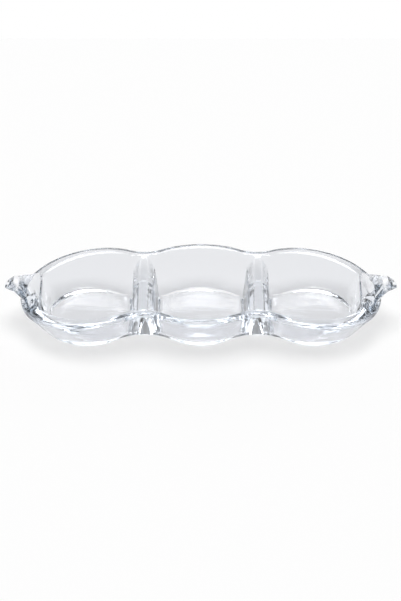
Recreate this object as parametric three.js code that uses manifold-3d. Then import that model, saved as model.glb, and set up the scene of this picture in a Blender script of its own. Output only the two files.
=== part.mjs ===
// A three-compartment serving dish, press-moulded in thick clear glass.
// Three round lobes stand in a row on one flat base. Each lobe holds a compartment, two ridges
// divide the compartments, and a faceted stem stands out of each end as a handle.
// Units are millimetres, +Z is up. The origin is the centre of the base, +X runs along the row
// of lobes and -Y is the front.
import * as THREE from "three";
import { mergeVertices } from "three/addons/utils/BufferGeometryUtils.js";
import Module from "manifold-3d";

const wasm = await Module();
wasm.setup();

// Driving dimensions of the outside, at the base and at the full rim height. The rim stands at its full
// height in the middle of the dish only, so the dish is shorter than its outline at that height.
const BASE_WIDTH = 104; // front to back, at the middle lobe
const BASE_REACH = 147; // from the middle of the dish to the end
const BASE_PITCH = 103.5; // from the middle lobe's centre to an end lobe's
const BASE_MIDDLE_RADIUS = 43.5; // of the middle lobe, along X
const BASE_END_RADIUS = 44; // of an end lobe, along X towards the waist
const BASE_WAIST_RADIUS = 46; // hollow arc that joins two lobes
const RIM_WIDTH = 144;
const RIM_REACH = 180;
const RIM_PITCH = 102;
const RIM_MIDDLE_RADIUS = 72;
const RIM_END_RADIUS = 73;
const RIM_WAIST_RADIUS = 25;
const RIM_HEIGHT = 38.8; // rim above the base at the middle of the dish
const SHEER_FLAT = 60; // level stretch of the rim in the middle
const SHEER_RADIUS = 600; // arc on which the rim falls away to both ends
const FOOT_ROUND = 4; // rounded edge under the wall
const RIM_ROUND = 1.8; // fire-polished edges of the rim

// Driving dimensions of the compartments
const FLOOR_THICKNESS = 5.5;
const FLOOR_FILLET = 10; // round between wall and floor
const CORNER_RADIUS = 4; // round corners beside the dividers
const MIDDLE_RIM_WALL = 6; // thickness of the middle lobe's wall at the full rim height
const MIDDLE_FLOOR_WIDTH = 93; // front to back, where wall and floor would meet
const MIDDLE_FLOOR_ARC = 58; // radius of the floor's front and back edges
const END_RIM_WALL = 10; // thickness of an end lobe's wall at the full rim height, front and back
const END_TIP_WALL = 15; // the same at the lobe's tip
const END_FLOOR_RADIUS = 47; // where wall and floor would meet
const END_FLOOR_PLACE = 96; // the floor's centre from the middle of the dish
const END_FLOOR_WALL = 11; // from the floor's end to the end of the base
const TIP_FLANK_WALL = 29; // from the flat flank at the tip to the lobe's end, at the full rim height
const TIP_FLANK_LEAN = THREE.MathUtils.degToRad(10); // of that flank from the vertical
const TIP_FLANK_BLEND = 2; // how softly the flank runs into the round wall

// Driving dimensions of the dividers
const DIVIDER_PLACE = 53; // from the middle of the dish
const DIVIDER_TOP = 12; // thickness below its round shoulders
const DIVIDER_ROUND = 3.4; // shoulders along the top
const DIVIDER_FOOT_MIDDLE = 14.5; // half thickness at the floor, towards the middle compartment
const DIVIDER_FOOT_END = 11.5; // half thickness at the floor, towards an end compartment
const DIVIDER_BAND = 26; // stretch of the dish that counts as divider
const SADDLE_DEPTH = 2; // divider below the rim
const SADDLE_LENGTH = 94; // lowered stretch of the divider
const SADDLE_RAMP = 5; // slope at each end of that stretch

// The stem, by six-sided sections from inside the wall to its tip. Distances run outwards from the
// lobe's end, heights run down from the full rim height, and some sections are turned by half a facet.
const STEM_SIDES = 6;
const STEM_CUT = 1; // where the handle begins, outwards from the lobe's end
const STEM_SECTIONS = [
  { out: -19, halfWidth: 42, top: 12, middle: 16, bottom: 25, turned: false },
  { out: -11, halfWidth: 31, top: 8.3, middle: 12, bottom: 20, turned: false },
  { out: -5, halfWidth: 23, top: 1.5, middle: 6, bottom: 16, turned: false },
  { out: STEM_CUT, halfWidth: 16, top: 0.5, middle: 3.4, bottom: 9, turned: true },
  { out: 5, halfWidth: 14, top: -2, middle: 2.2, bottom: 6.8, turned: false },
  { out: 9.5, halfWidth: 8.5, top: 0, middle: 2.6, bottom: 6, turned: true },
  { out: 13, halfWidth: 3.8, top: 2.4, middle: 4, bottom: 5.8, turned: false },
];

// Facets
const END_STEPS = 28;
const WAIST_STEPS = 5;
const MIDDLE_STEPS = 18;
const POCKET_STEPS = 22;
const CORNER_STEPS = 3;
const ROUND_STEPS = 3; // on the edges
const FILLET_STEPS = 4;
const OVERCUT = 12; // how far a cutter stands above the rim
const SEAM = 0.1; // a rounded edge ends this far below the face that it runs into
const SETTLING_PASSES = 24; // to find where a slanted wall meets a curved top line

const HALF_PI = Math.PI / 2;

// Solids

function solidOf(geometry) {
  const bare = geometry.clone();
  bare.deleteAttribute("normal");
  bare.deleteAttribute("uv");
  const merged = mergeVertices(bare);
  return new wasm.Manifold(
    new wasm.Mesh({
      numProp: 3,
      vertProperties: merged.attributes.position.array,
      triVerts: new Uint32Array(merged.index.array),
    }),
  );
}

function geometryOf(solid) {
  const mesh = solid.getMesh();
  const geometry = new THREE.BufferGeometry();
  geometry.setAttribute("position", new THREE.BufferAttribute(mesh.vertProperties, 3));
  geometry.setIndex(new THREE.BufferAttribute(mesh.triVerts, 1));
  geometry.computeVertexNormals();
  return geometry;
}

// A skin over closed rings of equally many points, listed anticlockwise as seen from the far end, with
// both ends capped by strips between the points that face each other. Each cell is split along its
// shorter diagonal, unless splitAcross says for its row which diagonal it is.
function loft(rings, splitAcross = () => null) {
  const count = rings[0].length;
  const points = rings.flat();
  const faces = [];
  for (let k = 0; k + 1 < rings.length; k++) {
    for (let i = 0; i < count; i++) {
      const next = (i + 1) % count;
      const [a, b, c, d] = [k * count + i, k * count + next, (k + 1) * count + next, (k + 1) * count + i];
      const across = splitAcross(k) ?? points[a].distanceTo(points[c]) < points[b].distanceTo(points[d]);
      faces.push(...(across ? [a, b, c, a, c, d] : [a, b, d, b, c, d]));
    }
  }
  const last = (rings.length - 1) * count;
  for (let i = 0; i < count / 2 - 1; i++) {
    const [a, b, c, d] = [i, i + 1, count - 2 - i, count - 1 - i];
    faces.push(c, b, a, d, c, a);
    faces.push(last + a, last + b, last + c, last + a, last + c, last + d);
  }
  const geometry = new THREE.BufferGeometry().setFromPoints(points);
  geometry.setIndex(faces);
  return solidOf(geometry);
}

// Plan outlines. Each is listed as its back half, from its +X end to its -X end, and the ring that a
// loft needs is that half with its mirror image.

function arc(x, y, radius, from, to, steps) {
  return Array.from({ length: steps + 1 }, (_, i) => {
    const angle = THREE.MathUtils.lerp(from, to, i / steps);
    return new THREE.Vector2(x + radius * Math.cos(angle), y + radius * Math.sin(angle));
  });
}

function ringOf(half) {
  const front = half.map((p) => new THREE.Vector3(p.x, -p.y, p.z)).reverse();
  return [...half, ...front];
}

const mirrored = (half) => half.map((p) => new THREE.Vector2(-p.x, p.y)).reverse();

// Draws the outer half of an arc about x out along X, from its radius to a given reach.
function drawnOut(points, x, radius, reach) {
  return points.map((p) => (p.x > x ? new THREE.Vector2(x + ((p.x - x) * (reach - x)) / radius, p.y) : p));
}

// Three lobes joined by hollow waists, which touch the circles of both neighbours. The circles are drawn
// out to the width across Y, and an end lobe's outer half to the reach along X.
function lobedHalf(inset, { width, reach, pitch, middle, end, waist }) {
  const fromMiddle = middle + waist;
  const fromEnd = end + waist;
  const waistX = (pitch ** 2 + fromMiddle ** 2 - fromEnd ** 2) / (2 * pitch);
  const waistY = Math.sqrt(fromMiddle ** 2 - waistX ** 2);
  const onMiddle = Math.atan2(waistY, waistX);
  const onEnd = Math.atan2(waistY, waistX - pitch);
  const start = onEnd / (2 * END_STEPS + 1);
  const right = [
    ...drawnOut(arc(pitch, 0, end - inset, start, onEnd, END_STEPS), pitch, end - inset, reach - inset),
    ...arc(waistX, waistY, waist + inset, onEnd - Math.PI, onMiddle - Math.PI, WAIST_STEPS).slice(1, -1),
  ];
  const across = arc(0, 0, middle - inset, onMiddle, Math.PI - onMiddle, MIDDLE_STEPS);
  const stretch = (width / 2 - inset) / (middle - inset);
  return [...right, ...across, ...mirrored(right)].map((p) => new THREE.Vector2(p.x, p.y * stretch));
}

// A compartment's wall is an arc about { x, y } and ends beside a divider in a straight flank. This is the
// round corner between a flank at x = reach and the arc, from the flank to the arc.
function flankCorner({ x, y, radius }, reach) {
  const cornerX = reach - CORNER_RADIUS;
  const rise = Math.sqrt((radius - CORNER_RADIUS) ** 2 - (cornerX - x) ** 2);
  const angle = Math.atan2(rise, cornerX - x);
  return { angle, points: arc(cornerX, y + rise, CORNER_RADIUS, 0, angle, CORNER_STEPS) };
}

function middlePocketHalf(inset, { y, radius, flank }) {
  const wall = { x: 0, y, radius: radius - inset };
  const corner = flankCorner(wall, flank - inset);
  const back = arc(0, y, wall.radius, corner.angle, Math.PI - corner.angle, POCKET_STEPS).slice(1, -1);
  return [...corner.points, ...back, ...mirrored(corner.points)];
}

// The right-hand end compartment: round at +X, a divider's flank at -X.
function endPocketHalf(inset, { x, radius, reach, flank }) {
  const wall = { x: -x, y: 0, radius: radius - inset };
  const corner = flankCorner(wall, -flank - inset);
  const start = (Math.PI - corner.angle) / (2 * POCKET_STEPS + 1);
  const round = arc(x, 0, wall.radius, start, Math.PI - corner.angle, POCKET_STEPS).slice(0, -1);
  return [...drawnOut(round, x, wall.radius, reach - inset), ...mirrored(corner.points)];
}

// Heights

// The rim is level in the middle and falls on a long arc towards both ends.
function rimHeight(x) {
  const past = Math.max(0, Math.abs(x) - SHEER_FLAT / 2);
  return RIM_HEIGHT - SHEER_RADIUS + Math.sqrt(SHEER_RADIUS ** 2 - past ** 2);
}

// The lesser of two values, with a soft change from one to the other.
function softMin(value, limit) {
  if (limit === Infinity) return value;
  const past = value - limit;
  return value - (past + Math.hypot(past, TIP_FLANK_BLEND)) / 2;
}

// How far a divider's top lies below the rim: the full depth along the divider, and less on the ramps.
function saddleDip(x, y) {
  const along = THREE.MathUtils.clamp((SADDLE_LENGTH / 2 + SADDLE_RAMP - Math.abs(y)) / SADDLE_RAMP, 0, 1);
  const aside = Math.abs(Math.abs(x) - DIVIDER_PLACE);
  return SADDLE_DEPTH * along * (1 - THREE.MathUtils.smoothstep(aside, DIVIDER_TOP / 2, DIVIDER_TOP));
}

// A straight-drawn wall between a low and a high outline, which reaches no further along X than a given
// function of its height. at() gives its points at a height, and under() those that lie a given depth under
// a top line that is a function of x and y.
function wallBetween(lowHalf, lowZ, highHalf, highZ, reachAt = () => Infinity) {
  const onLine = (i, z) => {
    const p = lowHalf[i].clone().lerp(highHalf[i], (z - lowZ) / (highZ - lowZ));
    return new THREE.Vector3(softMin(p.x, reachAt(z)), p.y, z);
  };
  return {
    at: (z) => lowHalf.map((_, i) => onLine(i, z)),
    under: (topLine, depth) =>
      lowHalf.map((_, i) => {
        let p = onLine(i, highZ);
        for (let pass = 0; pass < SETTLING_PASSES; pass++) p = onLine(i, topLine(p.x, p.y) - depth);
        return p;
      }),
  };
}

const BASE_LOBES = {
  width: BASE_WIDTH,
  reach: BASE_REACH,
  pitch: BASE_PITCH,
  middle: BASE_MIDDLE_RADIUS,
  end: BASE_END_RADIUS,
  waist: BASE_WAIST_RADIUS,
};
const RIM_LOBES = {
  width: RIM_WIDTH,
  reach: RIM_REACH,
  pitch: RIM_PITCH,
  middle: RIM_MIDDLE_RADIUS,
  end: RIM_END_RADIUS,
  waist: RIM_WAIST_RADIUS,
};

const outerWall = (inset) =>
  wallBetween(lobedHalf(inset, BASE_LOBES), 0, lobedHalf(inset, RIM_LOBES), RIM_HEIGHT);

// Where the rim ends at the tip of an end lobe.
const lobeEnd = Math.max(...outerWall(0).under(rimHeight, 0).map((p) => p.x));

// Rounded edges, as the inset and the rise or depth of each ring
const quarterRound = (radius, steps) =>
  Array.from({ length: steps + 1 }, (_, i) => {
    const angle = (i / steps) * HALF_PI;
    return { inset: radius * (1 - Math.sin(angle)), rise: radius * (1 - Math.cos(angle)) };
  });

function lobedBlock() {
  const foot = quarterRound(FOOT_ROUND, ROUND_STEPS).map(({ inset, rise }) => outerWall(inset).at(rise));
  const rim = quarterRound(RIM_ROUND, ROUND_STEPS)
    .reverse()
    .map(({ inset, rise }) => outerWall(inset).under(rimHeight, rise));
  return loft([...foot, ...rim].map(ringOf));
}

// The stem and the lug behind it, which runs into the end wall.

function stemSection({ out, halfWidth, top, middle, bottom, turned }) {
  const step = (2 * Math.PI) / STEM_SIDES;
  const stretch = turned ? 1 : 1 / Math.cos(step / 2);
  return Array.from({ length: STEM_SIDES }, (_, i) => {
    const angle = (i + (turned ? 0.5 : 0)) * step;
    const lift = Math.sin(angle) * stretch;
    const height = lift > 0 ? middle - top : bottom - middle;
    return new THREE.Vector3(lobeEnd + out, halfWidth * Math.cos(angle), RIM_HEIGHT - middle + lift * height);
  });
}

// Where only one of two sections is turned, the facets between them are triangles that point both ways.
function stem() {
  return loft(STEM_SECTIONS.map(stemSection), (k) => {
    const [low, high] = [STEM_SECTIONS[k].turned, STEM_SECTIONS[k + 1].turned];
    return low === high ? null : low;
  });
}

// Cutters

const compartmentRim = (x, y) => rimHeight(x) - saddleDip(x, y);

// A compartment's lip is tight along the rim and wide along the dividers.
function pocket(halfOutline, floorSizes, rimSizes, reachAt = () => Infinity) {
  const wall = (inset) => {
    const [low, high] = [floorSizes, rimSizes].map((sizes) => halfOutline(inset, sizes));
    return wallBetween(low, FLOOR_THICKNESS, high, RIM_HEIGHT, (z) => reachAt(z) - inset);
  };
  const floor = quarterRound(FLOOR_FILLET, FILLET_STEPS).map(({ inset, rise }) =>
    wall(inset).at(FLOOR_THICKNESS + rise),
  );
  const lipOf = (radius) =>
    quarterRound(radius, ROUND_STEPS)
      .reverse()
      .map(({ inset, rise }) => wall(-inset).under(compartmentRim, rise + SEAM));
  const wide = lipOf(DIVIDER_ROUND);
  const besideFlank = halfOutline(0, rimSizes).map(
    (p) => 1 - THREE.MathUtils.smoothstep(Math.abs(Math.abs(p.x) - rimSizes.flank), SEAM, CORNER_RADIUS),
  );
  const lip = lipOf(RIM_ROUND).map((ring, k) => ring.map((p, i) => p.lerp(wide[k][i], besideFlank[i])));
  const above = lip.at(-1).map((p) => new THREE.Vector3(p.x, p.y, p.z + OVERCUT));
  return loft([...floor, ...lip, above].map(ringOf));
}

const middlePocket = () =>
  pocket(
    middlePocketHalf,
    {
      y: MIDDLE_FLOOR_WIDTH / 2 - MIDDLE_FLOOR_ARC,
      radius: MIDDLE_FLOOR_ARC,
      flank: DIVIDER_PLACE - DIVIDER_FOOT_MIDDLE,
    },
    { y: 0, radius: RIM_WIDTH / 2 - MIDDLE_RIM_WALL, flank: DIVIDER_PLACE - DIVIDER_TOP / 2 },
  );

// A steep flat flank cuts off the tip of an end compartment.
const tipFlank = (z) => RIM_REACH - TIP_FLANK_WALL - (RIM_HEIGHT - z) * Math.tan(TIP_FLANK_LEAN);

const endPocket = () =>
  pocket(
    endPocketHalf,
    {
      x: END_FLOOR_PLACE,
      radius: END_FLOOR_RADIUS,
      reach: BASE_REACH - END_FLOOR_WALL,
      flank: DIVIDER_PLACE + DIVIDER_FOOT_END,
    },
    {
      x: RIM_PITCH,
      radius: RIM_END_RADIUS - END_RIM_WALL,
      reach: RIM_REACH - END_TIP_WALL,
      flank: DIVIDER_PLACE + DIVIDER_TOP / 2,
    },
    tipFlank,
  );

// The cut that lowers a divider's top, as a profile seen along +X.
function saddle() {
  const top = rimHeight(DIVIDER_PLACE);
  const half = SADDLE_LENGTH / 2;
  const profile = new THREE.Shape([
    new THREE.Vector2(-half, top - SADDLE_DEPTH),
    new THREE.Vector2(half, top - SADDLE_DEPTH),
    new THREE.Vector2(half + SADDLE_RAMP, top + SEAM),
    new THREE.Vector2(half + SADDLE_RAMP, top + OVERCUT),
    new THREE.Vector2(-half - SADDLE_RAMP, top + OVERCUT),
    new THREE.Vector2(-half - SADDLE_RAMP, top + SEAM),
  ]);
  const geometry = new THREE.ExtrudeGeometry(profile, { depth: DIVIDER_TOP, bevelEnabled: false });
  geometry.rotateY(HALF_PI).rotateX(HALF_PI); // the profile's x to Y, its y to Z, its depth to X
  geometry.translate(DIVIDER_PLACE - DIVIDER_TOP / 2, 0, 0);
  return solidOf(geometry);
}

// The pressing

const bothSides = (solid) => solid.add(solid.mirror([1, 0, 0]));

function pressing() {
  return lobedBlock()
    .add(bothSides(stem()))
    .subtract(bothSides(endPocket()))
    .subtract(middlePocket())
    .subtract(bothSides(saddle()));
}

// The dish is a single pressing. It is divided into its forms by flat faces across X that touch.

function stretchOf(solid, from, to) {
  const slab = new THREE.BoxGeometry(to - from, 2 * RIM_WIDTH, 4 * RIM_HEIGHT);
  slab.translate((from + to) / 2, 0, 0);
  return solid.intersect(solidOf(slab));
}

const handleStart = lobeEnd + STEM_CUT;
const bandStart = DIVIDER_PLACE - DIVIDER_BAND / 2;
const bandEnd = DIVIDER_PLACE + DIVIDER_BAND / 2;
const pastTip = 2 * handleStart;

const STRETCHES = {
  left_handle: [-pastTip, -handleStart],
  left_compartment: [-handleStart, -bandEnd],
  left_divider: [-bandEnd, -bandStart],
  middle_compartment: [-bandStart, bandStart],
  right_divider: [bandStart, bandEnd],
  right_compartment: [bandEnd, handleStart],
  right_handle: [handleStart, pastTip],
};

const dish = new THREE.Group();
dish.name = "divided_dish";
const glass = pressing();
for (const [name, [from, to]] of Object.entries(STRETCHES)) {
  const clearGlass = new THREE.MeshStandardMaterial({
    color: 0xe8ecef,
    roughness: 0.05,
    metalness: 0,
    transparent: true,
    opacity: 0.35,
  });
  const mesh = new THREE.Mesh(geometryOf(stretchOf(glass, from, to)), clearGlass);
  mesh.name = name;
  dish.add(mesh);
}

export default dish;
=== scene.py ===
# A three-compartment serving dish, press-moulded in thick clear glass, on a white studio table.
import math

import bpy
import numpy as np
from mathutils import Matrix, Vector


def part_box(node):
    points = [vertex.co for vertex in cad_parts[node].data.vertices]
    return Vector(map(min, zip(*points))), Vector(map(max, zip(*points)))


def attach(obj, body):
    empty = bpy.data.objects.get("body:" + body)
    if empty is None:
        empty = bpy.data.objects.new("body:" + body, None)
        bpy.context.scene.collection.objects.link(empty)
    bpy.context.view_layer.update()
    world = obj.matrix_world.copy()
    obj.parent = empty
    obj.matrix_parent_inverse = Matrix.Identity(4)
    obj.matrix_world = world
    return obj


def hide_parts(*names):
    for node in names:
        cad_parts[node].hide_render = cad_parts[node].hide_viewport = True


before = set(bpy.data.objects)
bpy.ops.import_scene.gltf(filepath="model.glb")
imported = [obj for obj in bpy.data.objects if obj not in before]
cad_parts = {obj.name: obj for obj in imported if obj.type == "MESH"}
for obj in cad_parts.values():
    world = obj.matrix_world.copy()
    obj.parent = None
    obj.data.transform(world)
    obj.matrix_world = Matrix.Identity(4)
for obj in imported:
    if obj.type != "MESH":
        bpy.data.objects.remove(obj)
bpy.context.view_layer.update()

# The outside of the pressing: three round lobes in a row on one flat base, with a wall that leans outwards
# to an arched rim. It is thick clear glass, shaped by the mould's outer half, and its edges are rounded by
# fire polishing. It is lofted from rings of points, as the solids of the frame are, on finer steps.
MM = 0.001
BASE_LOBES = dict(
    width=104 * MM, reach=147 * MM, pitch=103.5 * MM, middle=43.5 * MM, end=44 * MM, waist=46 * MM
)
RIM_LOBES = dict(width=144 * MM, reach=180 * MM, pitch=102 * MM, middle=72 * MM, end=73 * MM, waist=25 * MM)
RIM_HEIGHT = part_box("middle_compartment")[1].z
SHEER_FLAT = 60 * MM
SHEER_RADIUS = 600 * MM
FOOT_ROUND = 4 * MM
RIM_ROUND = 1.8 * MM
COLLAR_HEIGHT = 3 * MM
COLLAR_BLEND = 1 * MM
DIVIDER_PLACE = sum(corner.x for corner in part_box("right_divider")) / 2
SADDLE_DEPTH = 2 * MM
SADDLE_LENGTH = 94 * MM
SADDLE_RAMP = 5 * MM
SADDLE_WIDTH = 12 * MM
FLAT_EDGE = 1 * MM
LOBE_END_STEPS = 90
WAIST_STEPS = 20
MIDDLE_LOBE_STEPS = 48
ROUND_STEPS = 8
WALL_STEPS = 6
TOP_STEPS = 72
SETTLING_PASSES = 24


def arc(x, y, radius, start, end, steps):
    angles = np.linspace(start, end, steps + 1)
    return np.column_stack([x + radius * np.cos(angles), y + radius * np.sin(angles)])


def mirrored(half):
    return half[::-1] * (-1, 1)


def lobed_half(inset, width, reach, pitch, middle, end, waist):
    """The back half of the lobes' outline, from its +X end to its -X end. Hollow waists touch the lobes."""
    from_middle, from_end = middle + waist, end + waist
    waist_x = (pitch**2 + from_middle**2 - from_end**2) / (2 * pitch)
    waist_y = math.sqrt(from_middle**2 - waist_x**2)
    on_middle = math.atan2(waist_y, waist_x)
    on_end = math.atan2(waist_y, waist_x - pitch)
    round_end = arc(pitch, 0, end - inset, on_end / (2 * LOBE_END_STEPS + 1), on_end, LOBE_END_STEPS)
    hollow = arc(waist_x, waist_y, waist + inset, on_end - math.pi, on_middle - math.pi, WAIST_STEPS)
    right = np.vstack([round_end, hollow[1:-1]])
    outer = right[:, 0] > pitch
    right[outer, 0] = pitch + (right[outer, 0] - pitch) * (reach - inset - pitch) / (end - inset)
    across = arc(0, 0, middle - inset, on_middle, math.pi - on_middle, MIDDLE_LOBE_STEPS)
    return np.vstack([right, across, mirrored(right)]) * (1, (width / 2 - inset) / (middle - inset))


def eased(value, full, none):
    """1 up to full, 0 from none on, with a smooth fall between."""
    share = np.clip((none - value) / (none - full), 0, 1)
    return share * share * (3 - 2 * share)


def rim_height(x, y):
    """The rim falls on a long arc towards both ends, and dips over the dividers."""
    past = np.maximum(0, np.abs(x) - SHEER_FLAT / 2)
    sheer = SHEER_RADIUS - np.sqrt(SHEER_RADIUS**2 - past**2)
    along = eased(np.abs(y), SADDLE_LENGTH / 2, SADDLE_LENGTH / 2 + SADDLE_RAMP)
    across = eased(np.abs(np.abs(x) - DIVIDER_PLACE), SADDLE_WIDTH / 2, SADDLE_WIDTH)
    return RIM_HEIGHT - sheer - SADDLE_DEPTH * along * across


def untrimmed(points, z):
    """The trim of a wall that is left whole."""
    return points


def on_wall(low, low_z, high, high_z, trim, z):
    """Points at the heights z on a wall drawn straight from a low to a high outline, and then trimmed."""
    z = np.broadcast_to(z, len(low))
    share = ((z - low_z) / (high_z - low_z))[:, None]
    return np.column_stack([trim(low + (high - low) * share, z), z])


def under_rim(*wall, depth):
    """Points on such a wall that lie a given depth under the rim."""
    points = on_wall(*wall, RIM_HEIGHT)
    for _ in range(SETTLING_PASSES):
        points = on_wall(*wall, rim_height(points[:, 0], points[:, 1]) - depth)
    return points


def towards(points, others, length):
    """Points a given length from some points on the way to others."""
    way = others - points
    return points + way * length / np.linalg.norm(way, axis=1)[:, None]


def rounded(radius, steps):
    """Inset and rise of each ring on a rounded edge, from the flat face to the wall."""
    angles = np.linspace(0, math.pi / 2, steps + 1)
    return zip(radius * (1 - np.sin(angles)), radius * (1 - np.cos(angles)))


def ring_of(half):
    """A whole ring from its back half and that half's mirror image."""
    return np.vstack([half, (half * (1, -1, 1))[::-1]])


def cap_rows(ring, cross_steps, height):
    """Rows of points across a ring, between the points that face each other."""
    count = len(ring)
    shares = np.linspace(0, 1, cross_steps + 1)[1:-1, None]
    rows = []
    for i in range(count // 2):
        back, front = ring[i], ring[count - 1 - i]
        row = back + (front - back) * shares
        if height is not None and len(row):
            row[:, 2] = height(row[:, 0], row[:, 1])
        rows.append(row)
    rows[0] = rows[-1] = np.empty((0, 3))
    return rows


def loft(name, rings, cross_steps=1, height=None, split_across=None):
    """A closed skin over rings that are listed anticlockwise and upwards. split_across cuts a row's cells."""
    count = len(rings[0])
    points = [point for ring in rings for point in ring]
    faces = []
    for k in range(len(rings) - 1):
        across = split_across[k] if split_across else None
        for i in range(count):
            following = (i + 1) % count
            a, b = k * count + i, k * count + following
            c, d = b + count, a + count
            if across is None:
                faces.append((a, b, c, d))
            else:
                faces.extend([(a, b, c), (a, c, d)] if across else [(a, b, d), (b, c, d)])
    caps = ((0, rings[0], 1, False), (len(points) - count, rings[-1], cross_steps, True))
    for first, ring, steps, upwards in caps:
        lines = []
        for i, row in enumerate(cap_rows(ring, steps, height if upwards else None)):
            start = len(points)
            points.extend(row)
            lines.append([first + i, *range(start, start + len(row)), first + count - 1 - i])
        for line, following in zip(lines, lines[1:]):
            if len(line) == len(following):
                cells = [(line[j], following[j], following[j + 1], line[j + 1]) for j in range(len(line) - 1)]
            else:
                cells = [(line[0], *following, *line[:0:-1])]
            faces.extend(cell if upwards else cell[::-1] for cell in cells)
    mesh = bpy.data.meshes.new(name)
    mesh.from_pydata(points, [], faces)
    mesh.validate()
    made = bpy.data.objects.new(name, mesh)
    bpy.context.scene.collection.objects.link(made)
    return made


def outer_wall(inset):
    return lobed_half(inset, **BASE_LOBES), 0, lobed_half(inset, **RIM_LOBES), RIM_HEIGHT, untrimmed


foot_rings = [on_wall(*outer_wall(inset), rise) for inset, rise in rounded(FOOT_ROUND, ROUND_STEPS)]
flat_foot = on_wall(*outer_wall(FOOT_ROUND + FLAT_EDGE), 0)
rim_rings = [under_rim(*outer_wall(inset), depth=depth) for inset, depth in rounded(RIM_ROUND, ROUND_STEPS)]
rim_rings.reverse()
collar = rim_rings[0] - (0, 0, COLLAR_HEIGHT)
under_collar = towards(collar, foot_rings[-1], COLLAR_BLEND)
on_collar = towards(collar, rim_rings[0], COLLAR_BLEND)
wall_rings = [
    foot_rings[-1] + (under_collar - foot_rings[-1]) * step / WALL_STEPS for step in range(1, WALL_STEPS)
]
for share in np.linspace(0, 1, ROUND_STEPS):
    rest = 1 - share
    wall_rings.append(rest**2 * under_collar + 2 * share * rest * collar + share**2 * on_collar)
lobe_end = under_rim(*outer_wall(0), depth=0)[:, 0].max()
lobed_block = loft(
    "lobed_block",
    [ring_of(half) for half in (flat_foot, *foot_rings, *wall_rings, *rim_rings)],
    cross_steps=TOP_STEPS,
    height=rim_height,
)

# The stems: a short solid handle at each end, pressed with the dish and left with flat facets. Each grows out
# of a thick lug on the end wall. One is made here, and its twin is its mirror image.
STEM_SIDES = 6
STEM_SECTIONS = (
    (-19, 46, 12, 14, 25, False),
    (-11, 35, 8.3, 12, 20, False),
    (-5, 23, 1.5, 6, 16, False),
    (1, 16, 0.5, 3.4, 9, True),
    (5, 14, -2, 2.2, 6.8, False),
    (9.5, 8.5, 0, 2.6, 6, True),
    (13, 3.8, 2.4, 4, 5.8, False),
)


def stem_section(out, half_width, top, middle, bottom, turned):
    """A six-sided ring, in mm past the lobe's end and under the rim. turned sets it round by half a side."""
    step = 2 * math.pi / STEM_SIDES
    stretch = 1 if turned else 1 / math.cos(step / 2)
    points = []
    for i in range(STEM_SIDES):
        angle = (i + (0.5 if turned else 0)) * step
        lift = math.sin(angle) * stretch
        height = middle - top if lift > 0 else bottom - middle
        x = lobe_end + out * MM
        points.append((x, half_width * MM * math.cos(angle), RIM_HEIGHT - (middle - lift * height) * MM))
    return np.array(points)


turned = [section[-1] for section in STEM_SECTIONS]
stem = loft(
    "stem",
    [stem_section(*section) for section in STEM_SECTIONS],
    split_across=[low if low != high else None for low, high in zip(turned, turned[1:])],
)

# The compartments: hollows that the mould's plunger presses into the block, with leaning walls, a small round
# at the floor and a tight lip under the rim. The solid ridges of glass left between them are the dividers,
# whose shoulders are wide and deep, between a round and a bevel.
FLOOR_THICKNESS = 5.5 * MM
FLOOR_FILLET = 3 * MM
CORNER_RADIUS = 4 * MM
MIDDLE_RIM_WALL = 6 * MM
MIDDLE_FLOOR_WIDTH = 87.5 * MM
MIDDLE_FLOOR_ARC = 58 * MM
END_RIM_WALL = 10 * MM
END_TIP_WALL = 15 * MM
TIP_FLANK_PLACE = 147 * MM
TIP_FLANK_SLOPE = math.tan(math.radians(10))
TIP_FLANK_BLEND = 0.6 * MM
END_FLOOR_RADIUS = 41.5 * MM
END_FLOOR_REACH = 138 * MM
END_FLOOR_PLACE = 96 * MM
DIVIDER_TOP = 17 * MM
SHOULDER_WIDTH = 6.2 * MM
SHOULDER_DEPTH = 9 * MM
SHOULDER_POWER = 1.4
SHOULDER_FULL = 0.5 * MM
DIVIDER_FOOT_MIDDLE = 14.5 * MM
DIVIDER_FOOT_END = 11.5 * MM
FLANK_STEPS = 24
CORNER_STEPS = 12
MIDDLE_BACK_STEPS = 72
ROUND_END_STEPS = 110
FILLET_STEPS = 14
SEAM = 0.03 * MM
OVERCUT = 12 * MM


def flank_corner(x, y, radius, reach):
    """From the middle of a straight flank at x = reach to the arc about (x, y), over a round corner."""
    corner_x = reach - CORNER_RADIUS
    rise = math.sqrt((radius - CORNER_RADIUS) ** 2 - (corner_x - x) ** 2)
    angle = math.atan2(rise, corner_x - x)
    corner = arc(corner_x, y + rise, CORNER_RADIUS, 0, angle, CORNER_STEPS)
    shares = (np.arange(FLANK_STEPS) + 0.5) / (FLANK_STEPS + 0.5)
    flank = np.column_stack([np.full(FLANK_STEPS, reach), corner[0, 1] * shares])
    return angle, np.vstack([flank, corner])


def lip_sizes(half, flanks, on_divider):
    """The lip is tight along the rim, and of the size on_divider near the flanks at the dividers."""
    near = np.minimum.reduce([np.abs(half[:, 0] - flank) for flank in flanks])
    return RIM_ROUND + (on_divider - RIM_ROUND) * eased(near, SHOULDER_FULL, CORNER_RADIUS)


def bevelled(steps):
    """Inset and rise of each ring on a lip of size 1. A power of 1 would be round, and 2 a flat bevel."""
    angles = np.linspace(0, math.pi / 2, steps + 1)
    return zip(1 - np.sin(angles) ** SHOULDER_POWER, 1 - np.cos(angles) ** SHOULDER_POWER)


def middle_half(inset, y, radius, flank):
    """The back half of the middle compartment's outline: an arc between two flanks."""
    angle, corner = flank_corner(0, y, radius - inset, flank - inset)
    back = arc(0, y, radius - inset, angle, math.pi - angle, MIDDLE_BACK_STEPS)
    return np.vstack([corner, back[1:-1], mirrored(corner)])


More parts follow.
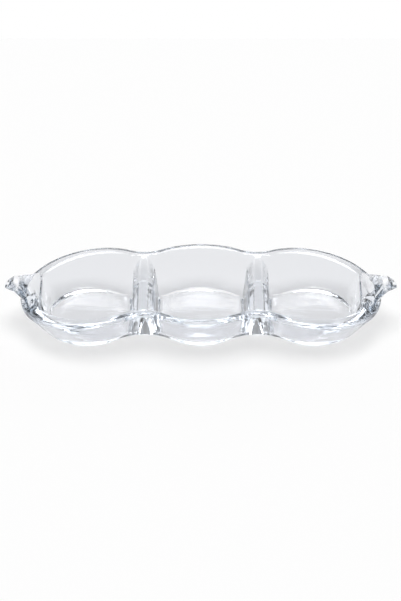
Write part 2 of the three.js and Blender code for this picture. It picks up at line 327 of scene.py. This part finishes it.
def end_half(inset, x, radius, reach, flank):
    """The back half of the right-hand compartment's outline: a long round end and one flank."""
    angle, corner = flank_corner(-x, 0, radius - inset, -flank - inset)
    end = math.pi - angle
    round_end = arc(x, 0, radius - inset, end / (2 * ROUND_END_STEPS + 1), end, ROUND_END_STEPS)
    outer = round_end[:, 0] > x
    round_end[outer, 0] = x + (round_end[outer, 0] - x) * (reach - inset - x) / (radius - inset)
    return np.vstack([round_end[:-1], mirrored(corner)])


def tip_flank(inset):
    """A trim that cuts off an end compartment's tip by a steep flat flank, softly run into the round wall."""

    def trim(points, z):
        flank = TIP_FLANK_PLACE - inset - (RIM_HEIGHT - z) * TIP_FLANK_SLOPE
        past = points[:, 0] - flank
        return points - np.column_stack([(past + np.hypot(past, TIP_FLANK_BLEND)) / 2, 0 * past])

    return trim


def compartment(name, half_outline, floor_sizes, rim_sizes, flanks, trim_for):
    """A hollow from its floor to above the rim. flanks are the places of its straight sides at the rim."""
    edge = half_outline(0, *rim_sizes)
    lip_width = lip_sizes(edge, flanks, SHOULDER_WIDTH)
    lip_depth = lip_sizes(edge, flanks, SHOULDER_DEPTH)

    def grown(inset, sizes):
        """The outline with an inset of its own at each point, judged by the outline that is 1 mm smaller."""
        still, smaller = half_outline(0, *sizes), half_outline(MM, *sizes)
        return still + (smaller - still) * np.broadcast_to(inset / MM, len(still))[:, None]

    def wall(inset, outline):
        low, high = outline(inset, floor_sizes), outline(inset, rim_sizes)
        return low, FLOOR_THICKNESS, high, RIM_HEIGHT, trim_for(inset)

    def even(inset, sizes):
        return half_outline(inset, *sizes)

    flat = on_wall(*wall(FLOOR_FILLET + FLAT_EDGE, even), FLOOR_THICKNESS)
    floor = []
    for inset, rise in rounded(FLOOR_FILLET, FILLET_STEPS):
        floor.append(on_wall(*wall(inset, even), FLOOR_THICKNESS + rise))
    lip = []
    for inset, depth in bevelled(ROUND_STEPS):
        lip.insert(0, under_rim(*wall(-lip_width * inset, grown), depth=lip_depth * depth + SEAM))
    between = [floor[-1] + (lip[0] - floor[-1]) * step / WALL_STEPS for step in range(1, WALL_STEPS)]
    above = lip[-1] + (0, 0, OVERCUT)
    return loft(name, [ring_of(half) for half in (flat, *floor, *between, *lip, above)])


middle_hollow = compartment(
    "middle_hollow",
    middle_half,
    (MIDDLE_FLOOR_WIDTH / 2 - MIDDLE_FLOOR_ARC, MIDDLE_FLOOR_ARC, DIVIDER_PLACE - DIVIDER_FOOT_MIDDLE),
    (0, RIM_LOBES["width"] / 2 - MIDDLE_RIM_WALL, DIVIDER_PLACE - DIVIDER_TOP / 2),
    (DIVIDER_PLACE - DIVIDER_TOP / 2, DIVIDER_TOP / 2 - DIVIDER_PLACE),
    lambda inset: untrimmed,
)
end_hollow = compartment(
    "end_hollow",
    end_half,
    (END_FLOOR_PLACE, END_FLOOR_RADIUS, END_FLOOR_REACH, DIVIDER_PLACE + DIVIDER_FOOT_END),
    (
        RIM_LOBES["pitch"],
        RIM_LOBES["end"] - END_RIM_WALL,
        RIM_LOBES["reach"] - END_TIP_WALL,
        DIVIDER_PLACE + DIVIDER_TOP / 2,
    ),
    (DIVIDER_PLACE + DIVIDER_TOP / 2,),
    tip_flank,
)

# The dish is one piece of crystal glass, pressed in one stroke and then fire polished. The stems are joined
# to the lobed block and the compartments are sunk into it, at both ends alike, so that it has no seam.
GLASS_BODY = "#D6E4F2"
GLASS_DENSITY = 4.0
GLASS_FACE = "#FBFCFF"
GLASS_IOR = 1.55
WAVE_SPACING = 9 * MM
WAVE_STRETCH = 3
WAVE_HEIGHT = 0.22 * MM
HAZE_SPACING = 25 * MM
HAZE_STARTS = 0.5
HAZE_FULL = 0.8
HAZE = 0.03
WELD = 0.05 * MM
FACET_ANGLE = math.radians(30)


def linear(colour):
    """The linear colour of an sRGB hex value."""
    values = [int(colour[i : i + 2], 16) / 255 for i in (1, 3, 5)]
    return [v / 12.92 if v <= 0.04045 else ((v + 0.055) / 1.055) ** 2.4 for v in values] + [1]


def add_node(tree, kind, settings=None, **links):
    """Adds a node. settings set its properties, links give its inputs a value or another node's output."""
    node = tree.nodes.new(kind)
    for key, value in (settings or {}).items():
        setattr(node, key, value)
    for key, value in links.items():
        wanted = key.replace("_", " ")
        usable = [socket for socket in node.inputs if socket.enabled]
        exact = [socket for socket in usable if socket.identifier.replace("_", " ") == wanted]
        named = [socket for socket in usable if socket.name == wanted]
        socket = (exact or named)[0]
        several = isinstance(value, list) and isinstance(value[0], bpy.types.NodeSocket)
        for item in value if several else [value]:
            if isinstance(item, bpy.types.NodeSocket):
                tree.links.new(item, socket)
            else:
                socket.default_value = item
    return node


def pressed_glass():
    """Fire-polished crystal glass. To the eye it is clear and bright, with soft waves and a cold tint."""
    material = bpy.data.materials.new("pressed_crystal_glass")
    material.use_nodes = True
    tree = material.node_tree
    tree.nodes.clear()
    place = add_node(tree, "ShaderNodeTexCoord").outputs["Object"]
    drawn_out = add_node(tree, "ShaderNodeMapping", Vector=place, Scale=(1 / WAVE_STRETCH, 1, 1))
    waves = add_node(
        tree, "ShaderNodeTexNoise", Vector=drawn_out.outputs["Vector"], Scale=1 / WAVE_SPACING, Detail=1.0
    )
    wavy = add_node(tree, "ShaderNodeBump", Height=waves.outputs["Fac"], Distance=WAVE_HEIGHT, Strength=1.0)
    patches = add_node(tree, "ShaderNodeTexNoise", Vector=place, Scale=1 / HAZE_SPACING, Detail=3.0)
    haze = add_node(
        tree,
        "ShaderNodeMapRange",
        Value=patches.outputs["Fac"],
        From_Min=HAZE_STARTS,
        From_Max=HAZE_FULL,
        To_Min=0.0,
        To_Max=HAZE,
    )
    surface = add_node(
        tree,
        "ShaderNodeBsdfPrincipled",
        Base_Color=linear(GLASS_FACE),
        Roughness=haze.outputs["Result"],
        IOR=GLASS_IOR,
        Transmission_Weight=1.0,
        Normal=wavy.outputs["Normal"],
    )
    body = add_node(tree, "ShaderNodeVolumeAbsorption", Color=linear(GLASS_BODY), Density=GLASS_DENSITY)
    add_node(
        tree,
        "ShaderNodeOutputMaterial",
        Surface=surface.outputs["BSDF"],
        Volume=body.outputs["Volume"],
    )
    return material


def pressing_tree(material):
    """Joins the stems to the block and sinks the hollows into it, on both sides of the middle."""
    tree = bpy.data.node_groups.new("pressing", "GeometryNodeTree")
    tree.is_modifier = True
    for name in ("Block", "Stem", "Middle Hollow", "End Hollow"):
        tree.interface.new_socket(name, in_out="INPUT", socket_type="NodeSocketObject")
    tree.interface.new_socket("Weld", in_out="INPUT", socket_type="NodeSocketFloat")
    tree.interface.new_socket("Geometry", in_out="OUTPUT", socket_type="NodeSocketGeometry")
    given = add_node(tree, "NodeGroupInput").outputs

    def shape_of(name):
        return add_node(tree, "GeometryNodeObjectInfo", Object=given[name]).outputs["Geometry"]

    def twins(shape):
        turned = add_node(tree, "GeometryNodeTransform", Geometry=shape, Scale=(-1, 1, 1))
        flipped = add_node(tree, "GeometryNodeFlipFaces", Mesh=turned.outputs["Geometry"])
        return [shape, flipped.outputs["Mesh"]]

    joined = add_node(
        tree,
        "GeometryNodeMeshBoolean",
        {"operation": "UNION", "solver": "MANIFOLD"},
        Mesh_2=[shape_of("Block"), *twins(shape_of("Stem"))],
    )
    pressed = add_node(
        tree,
        "GeometryNodeMeshBoolean",
        {"operation": "DIFFERENCE", "solver": "MANIFOLD"},
        Mesh_1=joined.outputs["Mesh"],
        Mesh_2=[shape_of("Middle Hollow"), *twins(shape_of("End Hollow"))],
    )
    welded = add_node(
        tree,
        "GeometryNodeMergeByDistance",
        Geometry=pressed.outputs["Mesh"],
        Distance=given["Weld"],
    )
    smooth = add_node(tree, "GeometryNodeSetShadeSmooth", Geometry=welded.outputs["Geometry"])
    real = add_node(tree, "GeometryNodeRealizeInstances", Geometry=smooth.outputs["Geometry"])
    finished = add_node(tree, "GeometryNodeSetMaterial", Geometry=real.outputs["Geometry"], Material=material)
    add_node(tree, "NodeGroupOutput", Geometry=finished.outputs["Geometry"])
    return tree


dish = bpy.data.objects.new("glass_dish", bpy.data.meshes.new("glass_dish"))
bpy.context.scene.collection.objects.link(dish)
pressing = dish.modifiers.new("pressing", "NODES")
tree = pressing_tree(pressed_glass())
pressing.node_group = tree
inputs = {
    "Block": lobed_block,
    "Stem": stem,
    "Middle Hollow": middle_hollow,
    "End Hollow": end_hollow,
    "Weld": WELD,
}
for socket in tree.interface.items_tree:
    if socket.in_out == "INPUT":
        pressing[socket.identifier] = inputs[socket.name]
evaluated = dish.evaluated_get(bpy.context.evaluated_depsgraph_get())
pressed_mesh = bpy.data.meshes.new_from_object(evaluated)
dish.modifiers.clear()
dish.data = pressed_mesh
for shape in (lobed_block, stem, middle_hollow, end_hollow):
    bpy.data.objects.remove(shape)
pressed_mesh.set_sharp_from_angle(angle=FACET_ANGLE)
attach(dish, "root")
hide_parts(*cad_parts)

# The table: a wide board under the dish, painted matt white. The camera and the glass see a share of it as
# plain white, a little dimmer in the glass, whatever light falls on it. The rest keeps the dish's shadow.
TABLE_WIDTH = 1.2
TABLE_LENGTH = 1.2
TABLE_DROP = 0.2 * MM
TABLE_PAINT = "#FAFAFA"
WHITE_TO_CAMERA = 0.6
WHITE_THROUGH_GLASS = 0.65
LEVEL_THROUGH_GLASS = 0.9


def matt_white_board():
    """Matt white paint. To the eye it is an even white that takes soft shadows."""
    material = bpy.data.materials.new("matt_white_paint")
    material.use_nodes = True
    tree = material.node_tree
    tree.nodes.clear()
    ray = add_node(tree, "ShaderNodeLightPath").outputs
    bent = add_node(
        tree,
        "ShaderNodeMath",
        {"operation": "MAXIMUM"},
        Value=ray["Is Transmission Ray"],
        Value_001=ray["Is Glossy Ray"],
    ).outputs[0]
    in_glass = add_node(
        tree, "ShaderNodeMath", {"operation": "MULTIPLY"}, Value=bent, Value_001=WHITE_THROUGH_GLASS
    ).outputs[0]
    share = add_node(
        tree,
        "ShaderNodeMath",
        {"operation": "MULTIPLY_ADD"},
        Value=ray["Is Camera Ray"],
        Value_001=WHITE_TO_CAMERA,
        Value_002=in_glass,
    ).outputs[0]
    paint = add_node(tree, "ShaderNodeBsdfDiffuse", Color=linear(TABLE_PAINT)).outputs[0]
    level = add_node(
        tree,
        "ShaderNodeMath",
        {"operation": "MULTIPLY_ADD"},
        Value=ray["Is Camera Ray"],
        Value_001=1 - LEVEL_THROUGH_GLASS,
        Value_002=LEVEL_THROUGH_GLASS,
    ).outputs[0]
    plain_white = add_node(tree, "ShaderNodeEmission", Strength=level).outputs[0]
    mixed = add_node(tree, "ShaderNodeMixShader", Fac=share, Shader=paint, Shader_001=plain_white)
    add_node(tree, "ShaderNodeOutputMaterial", Surface=mixed.outputs[0])
    return material


table_mesh = bpy.data.meshes.new("table")
corners = [
    (x * TABLE_WIDTH / 2, y * TABLE_LENGTH / 2, -TABLE_DROP)
    for x, y in ((-1, -1), (1, -1), (1, 1), (-1, 1))
]
table_mesh.from_pydata(corners, [], [range(4)])
table_mesh.materials.append(matt_white_board())
table = bpy.data.objects.new("table", table_mesh)
bpy.context.scene.collection.objects.link(table)

# The studio light: a tent of white cloth over the table, lit from outside. Its roof glows most, its back
# faintly, and a row of lamps shines through it low at the back. The camera's side is dark, which draws the
# dark lines in the glass. Angles are in degrees, and azimuths are taken from the back.
ROOF_GLOW = dict(azimuth=0, elevation=80, half_angle=24, soft_edge=4, level=5.5)
BACK_GLOW = dict(azimuth=0, elevation=38, half_angle=18, soft_edge=4, level=0.33)
LOW_LAMP = dict(elevation=13, half_angle=12, soft_edge=2, level=1.1)
LOW_LAMP_AZIMUTHS = (-48, -24, 0, 24, 48)
DARK_ROOM = 0.02


def glow_from(tree, way, azimuth, elevation, half_angle, soft_edge, level):
    """The light of one round glow in the direction way."""
    flat = math.cos(math.radians(elevation))
    centre = (
        flat * math.sin(math.radians(azimuth)),
        flat * math.cos(math.radians(azimuth)),
        math.sin(math.radians(elevation)),
    )
    nearness = add_node(
        tree, "ShaderNodeVectorMath", {"operation": "DOT_PRODUCT"}, Vector=way, Vector_001=centre
    )
    glow = add_node(
        tree,
        "ShaderNodeMapRange",
        {"interpolation_type": "SMOOTHSTEP"},
        Value=nearness.outputs["Value"],
        From_Min=math.cos(math.radians(half_angle + soft_edge)),
        From_Max=math.cos(math.radians(half_angle - soft_edge)),
        To_Max=level,
    )
    return glow.outputs["Result"]


def glowing_tent():
    """The tent as a world. The camera itself sees it as plain white."""
    world = bpy.data.worlds.new("tent")
    world.use_nodes = True
    tree = world.node_tree
    tree.nodes.clear()
    way = add_node(tree, "ShaderNodeTexCoord").outputs["Generated"]
    light = DARK_ROOM
    low_lamps = [dict(LOW_LAMP, azimuth=azimuth) for azimuth in LOW_LAMP_AZIMUTHS]
    for sizes in (ROOF_GLOW, BACK_GLOW, *low_lamps):
        glow = glow_from(tree, way, **sizes)
        light = add_node(tree, "ShaderNodeMath", {"operation": "ADD"}, Value=glow, Value_001=light).outputs[0]
    ray = add_node(tree, "ShaderNodeLightPath").outputs
    shown = add_node(
        tree, "ShaderNodeMath", {"operation": "MAXIMUM"}, Value=light, Value_001=ray["Is Camera Ray"]
    ).outputs[0]
    cloth = add_node(tree, "ShaderNodeBackground", Color=linear("#FFFFFF"), Strength=shown)
    add_node(tree, "ShaderNodeOutputWorld", Surface=cloth.outputs[0])
    return world


bpy.context.scene.world = glowing_tent()

# The camera: a long lens on a stand in front of the dish, looking down at it. A metre at the dish spans as
# many pixels as in the photograph. Light may bend and mirror many times in the glass on its way there.
ELEVATION = math.radians(30)
DISTANCE = 3.0
AIM = (-0.0003, 0, 0.0186)
PIXELS_PER_METRE = 1086
IMAGE_HEIGHT = 601
FAR_END = 20
BENDS_IN_GLASS = 32
MIRRORINGS = 16
camera_data = bpy.data.cameras.new("camera")
camera_data.lens = camera_data.sensor_width * DISTANCE * PIXELS_PER_METRE / IMAGE_HEIGHT
camera_data.clip_end = FAR_END
camera = bpy.data.objects.new("camera", camera_data)
bpy.context.scene.collection.objects.link(camera)
camera.location = (AIM[0], -DISTANCE * math.cos(ELEVATION), AIM[2] + DISTANCE * math.sin(ELEVATION))
camera.rotation_euler = (math.pi / 2 - ELEVATION, 0, 0)
bpy.context.scene.camera = camera
bpy.context.scene.view_settings.view_transform = "Standard"
bpy.context.scene.cycles.max_bounces = BENDS_IN_GLASS
bpy.context.scene.cycles.transmission_bounces = BENDS_IN_GLASS
bpy.context.scene.cycles.glossy_bounces = MIRRORINGS
